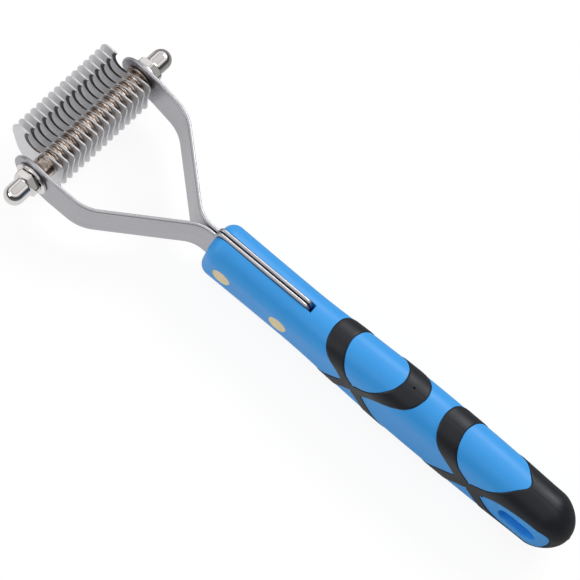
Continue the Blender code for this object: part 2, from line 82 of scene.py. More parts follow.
# Side outline of a blade about its axle: hook, cutting edge, hub, tail, back
HOOK_POINT = (-9.0, 6.3)
BLADE_EDGE = [
    (-9.3, 4.1), (-9.0, 2.3), (-8.1, 0.9), (-6.6, 0.3), (-4.7, 0.6),
    (-3.2, 1.5), (-1.0, 3.3), (2.2, 4.75), (4.5, 4.8), (5.2, 3.0),
    (5.45, -3.0), (6.1, -7.0), (6.25, -9.4), (5.4, -11.4), (3.6, -13.2),
    (0.8, -14.15), (-3.0, -13.9), (-7.6, -12.1), (-11.0, -8.9), (-13.3, -4.3),
    (-14.8, -0.4), (-14.75, 3.0), (-13.0, 5.5),
]
EDGE_CHAMFER = 0.1
# The ground cutting edge: how wide it is at a distance along the edge from the hook's point
GRIND = [(0, 0.3), (1.2, 0.95), (3.5, 1.2), (6.0, 1.0), (8.5, 0.7), (10.5, EDGE_CHAMFER)]

ARM_THICK = 1.15
ARM_FACE_Y = 23.3
ARM_HALF_WIDTH = 7.6
ARM_PAD_X = 6.5
ARM_BEND_X = 18.8
ARM_LEAN = math.radians(4.2)
ARM_SLANT = math.radians(39.3)
BEND_RADII = (25.0, 14.0, 10.0)
ARM_EDGE_ROUND = 0.36
TANG_FACE_Y = 1.35
TANG_X = (50.2, 85.2)
TANG_HALF_HEIGHT = 10.85
TANG_FRONT_R = 1.6
TANG_BACK_R = 2.2

WASHER_R = 5.6
HEX_CORNER_R = 4.65
HEX_FACE_R = 4.03  # where the chamfers meet the ends
HEX_THICK = 2.6
NUT_FILLET = 0.35
NUT_STEPS = 144
WASHER_STEPS = 128
DOME_R = 3.3
NUT_LENGTH = 9.7
NUT_BORE_R = 2.6
NUT_BORE_DEPTH = 6.2

# ---- the handle's sizes ---------------------------------------------------------------
HANDLE_X = (50.6, 185.4)
FRONT_ROUND = 3.8
BUTT_ROUND_X = 176.0
SECTION_FLAT = 0.4
STATIONS_X = (50.6, 72, 84, 90, 96, 102, 108, 120, 132, 150, 162, 171, 185.4)
HALF_WIDTHS = (7.2, 7.2, 7.2, 7.22, 7.3, 7.38, 7.45, 7.6, 7.65, 7.65, 7.55, 7.42, 7.3)
HALF_HEIGHTS = (10.7, 10.35, 10.3, 10.6, 11.2, 11.8, 12.3, 13.1, 13.3, 13.1, 12.6, 12.0, 11.6)
SLOT_HALF_WIDTH = 1.5
SLOT_END_X = 86.0
RIVET_X = (58.9, 80.3)
RIVET_HEAD_R = 3.2
RIVET_SHANK_R = 1.9
CLEARANCE = 0.2  # between the tangs' slot and the rivets' heads
HANG_HOLE_X = 171.1
HANG_HOLE_LENGTH = 13.0
HANG_HOLE_HEIGHT = 6.2
HOLE_FLARE = 0.35
# Distances from the middle plane, with the share of the flare that the hole has there
FLARE_RUN = ((6.6, 0), (7.2, 0.45), (7.6, 1), (12, 1))
MOULD_LINE = (0.05, 0.22)  # half widths of the ridge at its crest and its foot
DIMPLE_X = 123.0
DIMPLE_R = 0.4

RUBBER_PROUD = 0.2
RUBBER_DEPTH = 1.0
GROOVE = 0.16  # the fine gap round each piece of rubber
# Edges of the rubber as (round the grip, along the grip): 0 on the top line, 1 mid-side
FRONT_OUTER = [
    (0, 93.8), (.2, 94.2), (.4, 95.5), (.585, 97.9),
    (.72, 100.4), (.87, 103.0), (1, 104.8),
]
FRONT_INNER = [
    (0, 100.2), (.2, 100.8), (.4, 102.3), (.59, 104.2),
    (.77, 106.3), (.9, 108.6), (1, 108.6),
]
BACK_INNER = [
    (0, 119.7), (.19, 119.0), (.38, 117.0), (.57, 114.5),
    (.75, 111.8), (.9, 108.6), (1, 108.6),
]
BACK_OUTER = [
    (0, 127.7), (.19, 127.0), (.38, 125.0), (.53, 121.6),
    (.66, 118.4), (.82, 115.2), (1, 112.4),
]
CAP_OUTER = [
    (0, 134.7), (.2, 135.3), (.4, 137.0), (.585, 139.8),
    (.72, 142.4), (.87, 145.5), (1, 147.9),
]
CAP_INNER = [
    (0, 142.3), (.19, 142.9), (.38, 144.4), (.585, 146.9),
    (.76, 149.9), (.9, 152.8), (1, 152.8),
]
CAP_POINT = [
    (0, 166.9), (.22, 164.3), (.42, 161.5), (.6, 158.5),
    (.76, 155.4), (.9, 152.8), (1, 152.8),
]
LEAF_TIP_X = 157.0
LEAF_EDGE = [
    (159.8, 3.1), (163.6, 5.5), (168.5, 6.6), (173.5, 6.9),
    (178.2, 6.6), (180.8, 4.6), (181.7, 0),
]
COLUMNS_A_QUARTER = 20
EDGE_ROWS = (0.12, 0.3, 0.6)  # rows close to the rubber's rim, which is rounded over
RIM_DROP = 0.16

# ---- the two frames, read from the CAD --------------------------------------------------
low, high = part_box("handle_core")
LAYOUT = Matrix.Translation((
    low.x / MM - HANDLE_X[0], (low.y + high.y) / 2 / MM, (low.z + high.z) / 2 / MM))
TURN = next(joint for joint in frame["joints"] if joint["name"] == "blade_pack_turn")
AXLE = Vector(TURN["axis"]).normalized()
HEAD = Matrix.Translation(Vector(TURN["pos_m"]) / MM) @ Matrix((
    (AXLE.y, AXLE.x, 0, 0), (-AXLE.x, AXLE.y, 0, 0), (0, 0, 1, 0), (0, 0, 0, 1)))


def head_points(node):
    """A CAD node's corners in the head frame, in millimetres."""
    mesh = frame["nodes"][node].data
    flat = np.empty(len(mesh.vertices) * 3, np.float32)
    mesh.vertices.foreach_get("co", flat)
    back = np.array(HEAD.inverted())
    return flat.reshape(-1, 3) / MM @ back[:3, :3].T + back[:3, 3]


def along_axle(node):
    """Where a CAD node starts and ends along the axle."""
    stations = head_points(node)[:, 1]
    return float(stations.min()), float(stations.max())


# ---- mesh helpers -----------------------------------------------------------------------
def link(obj):
    SCENE.collection.objects.link(obj)
    return obj


def scaled(bm, matrix):
    bmesh.ops.transform(bm, matrix=Matrix.Scale(MM, 4) @ matrix, verts=bm.verts)
    return bm


def mesh_of(name, bm, mats=()):
    mesh = bpy.data.meshes.new(name)
    bm.to_mesh(mesh)
    bm.free()
    for mat in mats:
        mesh.materials.append(mat)
    return mesh


def finish_piece(name, mesh, body, nodes, angle=32.0, even=True):
    """The mesh as a shaded piece that rides on a body in place of CAD nodes."""
    mesh.shade_smooth()
    mesh.set_sharp_from_angle(angle=math.radians(angle))
    obj = link(bpy.data.objects.new(name, mesh))
    if even:
        normals = obj.modifiers.new("Even normals", "WEIGHTED_NORMAL")
        normals.keep_sharp = True
    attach(obj, body)
    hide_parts(*nodes)
    return obj


def baked(obj):
    """The object's mesh with its modifiers applied, the object itself removed."""
    bpy.context.view_layer.update()
    graph = bpy.context.evaluated_depsgraph_get()
    mesh = bpy.data.meshes.new_from_object(obj.evaluated_get(graph))
    mesh.transform(obj.matrix_world)
    bpy.data.objects.remove(obj, do_unlink=True)
    return mesh


def flat_plate(name, outlines, half_depth, edge=0.0, matrix=None):
    """A plate with the given outline and holes, its edges rounded, as a closed mesh."""
    curve = bpy.data.curves.new(name, "CURVE")
    curve.dimensions = "2D"
    curve.fill_mode = "BOTH"
    curve.extrude = half_depth - edge
    curve.bevel_depth = edge
    curve.offset = -edge
    curve.bevel_resolution = 2
    for points in outlines:
        spline = curve.splines.new("POLY")
        spline.points.add(len(points) - 1)
        for slot, (x, y) in zip(spline.points, points):
            slot.co = (x, y, 0, 1)
        spline.use_cyclic_u = True
    mesh = baked(link(bpy.data.objects.new(name, curve)))
    bm = bmesh.new()
    bm.from_mesh(mesh)
    bmesh.ops.remove_doubles(bm, verts=bm.verts, dist=1e-4)
    bmesh.ops.recalc_face_normals(bm, faces=bm.faces)
    if matrix is not None:
        bmesh.ops.transform(bm, matrix=matrix, verts=bm.verts)
    return bm


UPRIGHT = Matrix.Rotation(math.pi / 2, 4, "X")  # from a drawing plane to the XZ plane


def closed_curve(points, per_span):
    """A closed outline drawn smoothly through its points, with a corner at the first."""
    points = [Vector(point) for point in points]
    count = len(points)
    path = []
    for k, start in enumerate(points):
        end = points[(k + 1) % count]
        leave = (end - points[k - 1]) / 2 if k else end - start
        arrive = (points[(k + 2) % count] - start) / 2 if k < count - 1 else end - start
        for j in range(per_span):
            u = j / per_span
            path.append((2 * u ** 3 - 3 * u ** 2 + 1) * start + (u ** 3 - 2 * u ** 2 + u) * leave
                        + (3 * u ** 2 - 2 * u ** 3) * end + (u ** 3 - u ** 2) * arrive)
    return path


def circle(radius, count, x=0.0, y=0.0):
    return [(x + radius * math.cos(2 * math.pi * k / count),
             y + radius * math.sin(2 * math.pi * k / count)) for k in range(count)]


def rounded_corners(points, radius, steps=3):
    """A closed outline with each corner cut back and rounded."""
    points = [Vector(point) for point in points]
    path = []
    for k, corner in enumerate(points):
        before, after = points[k - 1] - corner, points[(k + 1) % len(points)] - corner
        start = corner + before.normalized() * min(radius, before.length * 0.45)
        end = corner + after.normalized() * min(radius, after.length * 0.45)
        for j in range(steps + 1):
            u = j / steps
            path.append((1 - u) ** 2 * start + 2 * u * (1 - u) * corner + u * u * end)
    return path


def lathe(profile, steps, limit=None, closed=True):
    """Rows of (radius, station) turned about Y. limit(angle, radius) trims a row."""
    bm = bmesh.new()
    rows = []
    for radius, y in profile:
        if radius < 1e-6:
            rows.append([bm.verts.new((0, y, 0))] * steps)
            continue
        row = []
        for k in range(steps):
            angle = 2 * math.pi * k / steps
            reach = limit(angle, radius) if limit else radius
            row.append(bm.verts.new((reach * math.cos(angle), y, reach * math.sin(angle))))
        rows.append(row)
    pairs = list(zip(rows, rows[1:])) + ([(rows[-1], rows[0])] if closed else [])
    for row, after in pairs:
        for k in range(steps):
            j = (k + 1) % steps
            corners = list(dict.fromkeys((row[k], row[j], after[j], after[k])))
            if len(corners) > 2:
                bm.faces.new(corners)
    bmesh.ops.recalc_face_normals(bm, faces=bm.faces)
    return bm


def smooth(points, t):
    """A curve through (t, value) points that keeps to the run between neighbours."""
    xs, ys = np.array(points, float).T
    step = np.diff(xs)
    slope = np.diff(ys) / step
    tangent = np.zeros(len(xs))
    for k in range(1, len(xs) - 1):
        if slope[k - 1] * slope[k] > 0:
            w0, w1 = 2 * step[k] + step[k - 1], step[k] + 2 * step[k - 1]
            tangent[k] = (w0 + w1) / (w0 / slope[k - 1] + w1 / slope[k])
    tangent[-1] = slope[-1]
    k = int(np.clip(np.searchsorted(xs, t, side="right") - 1, 0, len(step) - 1))
    u = (t - xs[k]) / step[k]
    return ((1 + 2 * u) * (1 - u) ** 2 * ys[k] + u * (1 - u) ** 2 * step[k] * tangent[k]
            + u * u * (3 - 2 * u) * ys[k + 1] + u * u * (u - 1) * step[k] * tangent[k + 1])


# ---- materials --------------------------------------------------------------------------
class Look:
    """A Principled material with the small node helpers that the finishes share."""

    def __init__(self, name, colour, roughness, metallic=0.0, **sockets):
        self.mat = bpy.data.materials.new(name)
        self.mat.use_nodes = True
        self.nodes, self.links = self.mat.node_tree.nodes, self.mat.node_tree.links
        self.shader = self.nodes["Principled BSDF"]
        self.colour = (*colour, 1)
        self.shader.inputs["Base Color"].default_value = self.colour
        self.shader.inputs["Roughness"].default_value = roughness
        self.shader.inputs["Metallic"].default_value = metallic
        for socket, value in sockets.items():
            self.shader.inputs[socket.replace("_", " ")].default_value = value
        self.place = self.nodes.new("ShaderNodeTexCoord").outputs["Object"]

    def noise(self, scale, stretch=(1, 1, 1), turn=(0, 0, 0), detail=3.0, rough=0.55):
        """Noise with a scale in features a metre, stretched along the object's axes."""
        mapping = self.nodes.new("ShaderNodeMapping")
        mapping.inputs["Scale"].default_value = stretch
        mapping.inputs["Rotation"].default_value = turn
        texture = self.nodes.new("ShaderNodeTexNoise")
        texture.inputs["Scale"].default_value = scale
        texture.inputs["Detail"].default_value = detail
        texture.inputs["Roughness"].default_value = rough
        self.links.new(self.place, mapping.inputs["Vector"])
        self.links.new(mapping.outputs["Vector"], texture.inputs["Vector"])
        return texture.outputs["Fac"]

    def spread(self, value, low, high, start=0.3, end=0.7):
        """A value carried from start..end to low..high."""
        node = self.nodes.new("ShaderNodeMapRange")
        node.inputs["From Min"].default_value = start
        node.inputs["From Max"].default_value = end
        node.inputs["To Min"].default_value = low
        node.inputs["To Max"].default_value = high
        self.links.new(value, node.inputs["Value"])
        return node.outputs["Result"]

    def rough_from(self, value, low, high):
        self.links.new(self.spread(value, low, high), self.shader.inputs["Roughness"])

    def tint(self, value, other, most=1.0, start=0.3, end=0.7):
        """Mixes another colour in where the value is high."""
        mix = self.nodes.new("ShaderNodeMix")
        mix.data_type = "RGBA"
        colour = self.shader.inputs["Base Color"]
        mix.inputs[6].default_value = self.colour
        mix.inputs[7].default_value = (*other, 1)
        if colour.is_linked:
            self.links.new(colour.links[0].from_socket, mix.inputs[6])
        self.links.new(self.spread(value, 0, most, start, end), mix.inputs[0])
        self.links.new(mix.outputs[2], colour)

    def bump(self, value, height, strength=1.0):
        """Relief of a given height in millimetres, added to what is there already."""
        node = self.nodes.new("ShaderNodeBump")
        node.inputs["Strength"].default_value = strength
        node.inputs["Distance"].default_value = height * MM
        self.links.new(value, node.inputs["Height"])
        normal = self.shader.inputs["Normal"]
        if normal.is_linked:
            self.links.new(normal.links[0].from_socket, node.inputs["Normal"])
        self.links.new(node.outputs["Normal"], normal)


def blade_steel():
    look = Look("blade_steel", (0.90, 0.90, 0.915), 0.4, 0.72)
    rolled = look.noise(90, (6, 6, 60), detail=4)
    look.rough_from(rolled, 0.32, 0.48)
    look.tint(look.noise(160), (0.84, 0.84, 0.86), 0.6)
    look.tint(look.noise(1500, detail=2), (0.76, 0.76, 0.78), 0.7)
    look.bump(look.noise(700, (1, 1, 9)), 0.006, 0.35)
    return look.mat


def ground_edge_painted_dark():
    # Painted dark reflection: the near-black brown colour stands in for the dark that the ground
    # bevel mirrors; the strokes are the grinding's own grain
    look = Look("ground_edge_painted_dark", (0.09, 0.07, 0.075), 0.3, 0.85)
    strokes = look.noise(2600, (1, 0.1, 1), detail=2)
    look.rough_from(strokes, 0.22, 0.5)
    look.tint(strokes, (0.15, 0.13, 0.135), 0.5)
    look.bump(strokes, 0.004, 0.3)
    return look.mat


def turned_chrome():
    look = Look("turned_chrome", (0.70, 0.61, 0.55), 0.13, 1.0)
    look.rough_from(look.noise(900, (0.2, 8, 0.2), detail=2), 0.08, 0.2)
    # Tone that differs at random, made dark brown as painted dark reflection: the patches stand in
    # for the shaded blades that the rings mirror
    look.tint(look.noise(330, (1, 2.2, 1)), (0.23, 0.165, 0.13), 0.95, 0.38, 0.62)
    look.bump(look.noise(2200, (0.1, 3, 0.1), detail=2), 0.003, 0.3)
    return look.mat


def mirror_chrome():
    look = Look("mirror_chrome", (0.90, 0.875, 0.865), 0.07, 1.0)
    look.rough_from(look.noise(260, detail=5), 0.03, 0.11)
    look.tint(look.noise(300), (0.80, 0.76, 0.74), 0.5)
    look.bump(look.noise(500, detail=2), 0.004, 0.25)
    return look.mat


def strip_steel():
    look = Look("strip_steel", (0.56, 0.56, 0.59), 0.34, 1.0)
    lines = look.noise(160, (0.25, 0.25, 14), detail=5, rough=0.7)
    look.rough_from(lines, 0.26, 0.44)
    look.tint(look.noise(45, (1, 1, 3)), (0.49, 0.49, 0.52), 0.6)
    look.tint(look.noise(1300, detail=3), (0.46, 0.46, 0.485), 0.6)
    look.bump(lines, 0.006, 0.4)
    look.bump(look.noise(1700, detail=2), 0.006, 0.3)
    return look.mat


def moulded_blue():
    look = Look("moulded_blue", (0.042, 0.385, 0.93), 0.42, IOR=1.46)
    grain = look.noise(3200, detail=2)
    look.rough_from(look.noise(60, detail=3), 0.38, 0.48)
    look.tint(look.noise(38, (0.5, 1, 1)), (0.038, 0.355, 0.87), 0.5)
    look.bump(grain, 0.012, 0.35)
    look.bump(look.noise(130, detail=1), 0.02, 0.12)
    return look.mat


def soft_rubber():
    look = Look("soft_rubber", (0.0085, 0.0105, 0.0165), 0.46, IOR=1.5, Specular_IOR_Level=0.4)
    look.rough_from(look.noise(90, detail=4), 0.38, 0.52)
    look.tint(look.noise(240, detail=4), (0.014, 0.0165, 0.023), 0.7)
    look.bump(look.noise(2600, detail=3), 0.02, 0.4)
    look.bump(mould_line(look), 0.12, 0.8)
    return look.mat


def mould_line(look):
    """A fine ridge along the mould's parting line, on the handle's middle plane."""
    split = look.nodes.new("ShaderNodeSeparateXYZ")
    look.links.new(look.place, split.inputs["Vector"])
    away = look.nodes.new("ShaderNodeMath")
    away.operation = "ABSOLUTE"
    offset = look.nodes.new("ShaderNodeMath")
    offset.operation = "SUBTRACT"
    offset.inputs[1].default_value = LAYOUT.translation.y * MM
    look.links.new(split.outputs["Y"], offset.inputs[0])
    look.links.new(offset.outputs[0], away.inputs[0])
    crest, foot = MOULD_LINE
    return look.spread(away.outputs[0], 1, 0, crest * MM, foot * MM)


def pale_brass():
    look = Look("pale_brass", (0.95, 0.81, 0.53), 0.45, 0.5)
    scratches = look.noise(500, (1, 1, 6), (0, 0.6, 0), detail=4)
    look.rough_from(scratches, 0.34, 0.55)
    look.tint(look.noise(900, detail=4), (0.74, 0.58, 0.32), 0.55)
    look.bump(scratches, 0.01, 0.5)
    return look.mat


def plain_rod():
    look = Look("plain_rod", (0.5, 0.49, 0.48), 0.3, 1.0)
    look.rough_from(look.noise(700, (0.3, 4, 0.3)), 0.22, 0.4)
    look.bump(look.noise(1500, (0.2, 3, 0.2)), 0.005, 0.4)
    return look.mat


# ---- the blades -------------------------------------------------------------------------
def inset(path, widths):
    """A closed path moved inwards by a width at each of its points."""
    area = sum(a.x * b.y - b.x * a.y for a, b in zip(path, path[1:] + path[:1]))
    inward = 1 if area > 0 else -1
    moved = []
    for k, point in enumerate(path):
        after = path[(k + 1) % len(path)]
        sides = [(point - path[k - 1]).normalized(), (after - point).normalized()]
        normals = [Vector((-d.y, d.x)) * inward for d in sides]
        mean = (normals[0] + normals[1]).normalized()
        moved.append(point + mean * (widths[k] / max(0.6, mean.dot(normals[0]))))
    return moved


def blade_shape(thick):
    """A blade with its left face at local Y 0: rounded rim, ground cutting edge, round bore."""
    path = closed_curve([HOOK_POINT] + BLADE_EDGE, 6)
    run = np.concatenate([[0], np.cumsum([(b - a).length for a, b in zip(path, path[1:])])])
    widths = [float(np.interp(s, *zip(*GRIND))) for s in run]
    ground = [width > 1.5 * EDGE_CHAMFER for width in widths]
    drops = [max(EDGE_CHAMFER, min(0.6 * width, thick - 2 * EDGE_CHAMFER)) for width in widths]
    bm = bmesh.new()
    loops = []
    for points, stations in (
            (inset(path, widths), [0.0] * len(path)),
            (path, drops),
            (path, [thick - EDGE_CHAMFER] * len(path)),
            (inset(path, [EDGE_CHAMFER] * len(path)), [thick] * len(path))):
        loops.append([bm.verts.new((p.x, y, p.y)) for p, y in zip(points, stations)])
    bores = [[bm.verts.new((x, y, z)) for x, z in circle(BORE_R, 48)] for y in (0.0, thick)]
    for row, after in list(zip(loops, loops[1:])) + [tuple(bores)]:
        for k in range(len(row)):
            j = (k + 1) % len(row)
            face = bm.faces.new((row[k], row[j], after[j], after[k]))
            if (row is loops[0] or row is loops[1]) and ground[k]:
                face.material_index = 1
    for loop, bore in ((loops[0], bores[0]), (loops[-1], bores[1])):
        edges = [bm.edges.get((ring[k - 1], ring[k]))
                 for ring in (loop, bore) for k in range(len(ring))]
        bmesh.ops.triangle_fill(bm, edges=edges, use_beauty=True)
    bmesh.ops.recalc_face_normals(bm, faces=bm.faces)
    return bm


def build_blades(mats):
    blades = sorted(node for node in frame["nodes"] if node.startswith("blade_"))
    for node in blades:
        start, end = along_axle(node)
        bm = scaled(blade_shape(end - start), HEAD @ Matrix.Translation((0, start, 0)))
        mesh = mesh_of(node, bm, mats)
        finish_piece(f"steel_{node}", mesh, "blade_pack", [node], 24)


# ---- rings, washers and nuts --------------------------------------------------------------
def ring_profile(inner, outer, y0, y1):
    return [(outer, y1), (outer, y0), (inner, y0), (inner, y1)]


def barrel(start, end):
    """The outer face of one ring, full in the middle and falling away to its edges."""
    return [(SPACER_R - RING_CROWN * abs(k / 4 - 1) ** 3, start + (end - start) * k / 8)
            for k in range(9)]


def spacer_profile(start, end):
    """A spacer's half section: two rings side by side, with a seam between them."""
    middle, half = (start + end) / 2, SEAM_WIDTH / 2
    seam = [(SPACER_R - SEAM_DEPTH, middle + half / 2), (SPACER_R - SEAM_DEPTH, middle - half / 2)]
    bore = [(BORE_R, start), (BORE_R, end)]
    return barrel(end, middle + half) + seam + barrel(middle - half, start) + bore


def build_rings(mat):
    spacers = sorted(node for node in frame["nodes"] if node.startswith("spacer_"))
    profiles = {node: spacer_profile(*along_axle(node)) for node in spacers}
    for node, outer in (("long_collar", SPACER_R), ("end_spacer_left", SPACER_R),
                        ("end_spacer_right", SPACER_R), ("end_washer_right", END_WASHER_R)):
        profiles[node] = ring_profile(BORE_R, outer, *along_axle(node))
    for node, profile in profiles.items():
        bm = scaled(lathe(rounded_corners(profile, RING_EDGE), RING_STEPS), HEAD)
        mesh = mesh_of(node, bm, [mat])
        finish_piece(f"turned_{node}", mesh, "blade_pack", [node], 60)


def hexagon(phase, across_corners_r):
    """A limit for a row: a regular hexagon with softened corners."""
    flat = across_corners_r * math.cos(math.pi / 6)

    def limit(angle, radius):
        off = (angle - phase + math.pi / 6) % (math.pi / 3) - math.pi / 6
        reach = flat / math.cos(math.pi / 6 - abs(off))
        soft = across_corners_r - 0.08
        return min(radius, reach if reach < soft else soft + (reach - soft) * 0.3)
    return limit


def nut_profile():
    """Radius and height above the seat, from the dome's top down to the bore's end."""
    corner, face = HEX_CORNER_R, HEX_FACE_R
    straight = NUT_LENGTH - DOME_R
    rows = [(DOME_R * math.sin(k * math.pi / 32), straight + DOME_R * math.cos(k * math.pi / 32))
            for k in range(17)]
    fillet = NUT_FILLET
    rows += [(DOME_R, HEX_THICK + fillet + 0.6)]
    for k in range(5):
        turn = k * math.pi / 8
        rows.append((DOME_R + fillet * (1 - math.cos(turn)),
                     HEX_THICK + fillet * (1 - math.sin(turn))))
    rows += [(face - 0.14, HEX_THICK), (face - 0.05, HEX_THICK - 0.05)]
    rows += [(face + (corner - face) * k / 6, HEX_THICK - 0.1 - 0.42 * k / 6) for k in range(1, 7)]
    rows += [(corner + 0.05, HEX_THICK / 2), (corner + 0.05, 0.35)]
    rows += [(corner - 0.1 * k, 0.35 - 0.12 * k) for k in range(3)] + [(face, 0.0)]
    return rows + [(NUT_BORE_R, 0.0), (NUT_BORE_R, NUT_BORE_DEPTH), (0, NUT_BORE_DEPTH + 0.8)]


def build_nuts(mat):
    for name, side in (("left", -1), ("right", 1)):
        nut, washer = f"cap_nut_{name}", f"washer_{name}"
        points = head_points(nut)
        reach = np.hypot(points[:, 0], points[:, 2])
        far = points[int(reach.argmax())]
        seat = min(abs(y) for y in along_axle(nut))
        profile = [(r, side * (seat + h)) for r, h in nut_profile()]
        phase = math.atan2(far[2], far[0])
        bm = lathe(profile, NUT_STEPS, hexagon(phase, float(reach.max())), closed=False)
        mesh = mesh_of(nut, scaled(bm, HEAD), [mat])
        finish_piece(f"chrome_{nut}", mesh, f"{name}_nut", [nut], 26, even=False)
        profile = rounded_corners(ring_profile(BORE_R, WASHER_R, *along_axle(washer)), 0.3, 4)
        mesh = mesh_of(washer, scaled(lathe(profile, WASHER_STEPS), HEAD), [mat])
        finish_piece(f"chrome_{washer}", mesh, f"{name}_washer", [washer], 60)


# ---- the arms -----------------------------------------------------------------------------
TO_LAYOUT = LAYOUT.inverted() @ HEAD


def head_to_layout(x, y):
    point = TO_LAYOUT @ Vector((x, y, 0))
    return Vector((point.x, point.y))


def filleted(points, radii, steps=24):
    """The polyline with an arc of the given radius at each inner point."""
    path = [points[0]]
    for k, radius in enumerate(radii, 1):
        before = (points[k - 1] - points[k]).normalized()
        after = (points[k + 1] - points[k]).normalized()
        half = before.angle(after) / 2
        reach = radius / math.tan(half)
        centre = points[k] + (before + after).normalized() * (radius / math.sin(half))
        start = points[k] + before * reach - centre
        end = points[k] + after * reach - centre
        turn = start.angle_signed(end)
        for j in range(steps + 1):
            path.append(centre + Matrix.Rotation(-turn * j / steps, 2) @ start)
    path.append(points[-1])
    return path


def arm_plan(side):
    """Outer face of an arm seen from above, from past the axle to the end of the tang."""
    bend_y = ARM_FACE_Y - math.tan(ARM_LEAN) * (ARM_BEND_X - ARM_PAD_X)
    end = head_to_layout(-9, side * ARM_FACE_Y)
    pad = head_to_layout(ARM_PAD_X, side * ARM_FACE_Y)
    bend = head_to_layout(ARM_BEND_X, side * bend_y)
    reach = head_to_layout(ARM_BEND_X + 10, side * (bend_y - 10 * math.tan(ARM_SLANT)))
    run = reach - bend
    tang_y = side * TANG_FACE_Y
    neck = bend + run * ((tang_y - bend.y) / run.y)
    return filleted([end, pad, bend, neck, Vector((TANG_X[1] + 1, tang_y))], BEND_RADII)


def arm_outline(axle_x):
    """Side outline: round about the axle, a plain strip, then the taller tang."""
    w, h = ARM_HALF_WIDTH, TANG_HALF_HEIGHT
    front, back = TANG_X
    turns = [k * math.pi / 48 for k in range(24, -1, -1)]
    upper = [(axle_x - w * math.sin(turn), w * math.cos(turn)) for turn in turns]
    upper += [(front - 0.3, w)]
    quarter = [k * math.pi / 16 for k in range(9)]
    r = TANG_FRONT_R
    upper += [(front + r - r * math.cos(turn), h - r + r * math.sin(turn)) for turn in quarter]
    r = TANG_BACK_R
    upper += [(back - r + r * math.sin(turn), h - r + r * math.cos(turn)) for turn in quarter]
    return upper + [(x, -z) for x, z in reversed(upper) if abs(z) > 1e-9]


def bend_plate(bm, plan, side):
    """Carries a flat plate in XZ onto the bent plan, whose line is the arm's outer face."""
    points = np.array([tuple(p) for p in plan])
    step = np.gradient(points, axis=0)
    normals = np.stack([-step[:, 1], step[:, 0]], 1) / np.linalg.norm(step, axis=1)[:, None]
    middle = points - normals * side * ARM_THICK / 2
    for x in np.arange(-8.0, TANG_X[1], 1.0):
        bmesh.ops.bisect_plane(bm, geom=bm.verts[:] + bm.edges[:] + bm.faces[:], dist=1e-4,
                               plane_co=(float(x), 0, 0), plane_no=(1, 0, 0))
    for vert in bm.verts:
        x, off = vert.co.x, -vert.co.y
        centre = np.interp(x, middle[:, 0], middle[:, 1])
        nx, ny = (float(np.interp(x, middle[:, 0], normals[:, k])) for k in (0, 1))
        vert.co = (x - nx * off, centre - ny * off, vert.co.z)


def build_arms(mat):
    for name, side in (("left", -1), ("right", 1)):
        axle = head_to_layout(0, side * ARM_FACE_Y)
        outlines = [arm_outline(axle.x), circle(BORE_R, 40, axle.x)]
        bm = flat_plate("plate", outlines, ARM_THICK / 2, ARM_EDGE_ROUND, UPRIGHT)
        bend_plate(bm, arm_plan(side), side)
        mesh = mesh_of(name, scaled(bm, LAYOUT), [mat])
        finish_piece(f"strip_arm_{name}", mesh, "root", [f"arm_{name}"], 40)


# ---- the handle -----------------------------------------------------------------------------
def eased_table(values):
    """Half sizes at fine stations along the grip, with the changes of slope smoothed out."""
    xs = np.arange(HANDLE_X[0] - 8, HANDLE_X[1] + 8, 0.5)
    pairs = list(zip(STATIONS_X, values))
    ys = np.array([smooth(pairs, min(max(x, HANDLE_X[0]), HANDLE_X[1])) for x in xs])
    window = np.hanning(19)[1:-1]
    eased = np.convolve(np.pad(ys, 8, "edge"), window / window.sum(), "valid")
    return xs, eased


WIDTH_TABLE = eased_table(HALF_WIDTHS)
HEIGHT_TABLE = eased_table(HALF_HEIGHTS)


def section_size(x):
    """Half width, half height and corner radius of the grip at a station."""
    a, b = float(np.interp(x, *WIDTH_TABLE)), float(np.interp(x, *HEIGHT_TABLE))
    into = x - HANDLE_X[0]
    if into < FRONT_ROUND:
        back = FRONT_ROUND - math.sqrt(max(0, FRONT_ROUND ** 2 - (FRONT_ROUND - into) ** 2))
        return a - back, b - back, a - SECTION_FLAT - back
    if x > BUTT_ROUND_X:
        u = min(1, (x - BUTT_ROUND_X) / (HANDLE_X[1] - BUTT_ROUND_X))
        shrink = math.sqrt(max(0, 1 - u ** 1.6))
        return a * shrink, b * shrink, (a - SECTION_FLAT) * shrink
    return a, b, a - SECTION_FLAT


def grip_point(x, t, proud=0.0):
    """The point at a station, t round the section from the top (0) past the side (1)."""
    a, b, r = section_size(x)
    a, b, r = a + proud, b + proud, r + proud
    flat, side = a - r, b - r
    arc = r * math.pi / 2
    fold = abs(t)
    below = fold > 1
    s = (2 - fold if below else fold) * (flat + arc + side)
    if s < flat:
        y, z = s, b
    elif s < flat + arc:
        angle = (s - flat) / r
        y, z = flat + r * math.sin(angle), side + r * math.cos(angle)
    else:
        y, z = a, side - (s - flat - arc)
    return Vector((x, math.copysign(y, -t) if t else 0.0, -z if below else z))


def handle_stations():
    front = [HANDLE_X[0] + FRONT_ROUND * (1 - math.cos(k * math.pi / 20)) for k in range(10)]
    middle = list(np.arange(HANDLE_X[0] + FRONT_ROUND, BUTT_ROUND_X, 1.6))
    length = HANDLE_X[1] - BUTT_ROUND_X
    butt = [BUTT_ROUND_X + length * math.sin(k * math.pi / 40) for k in range(20)]
    return front + middle + butt


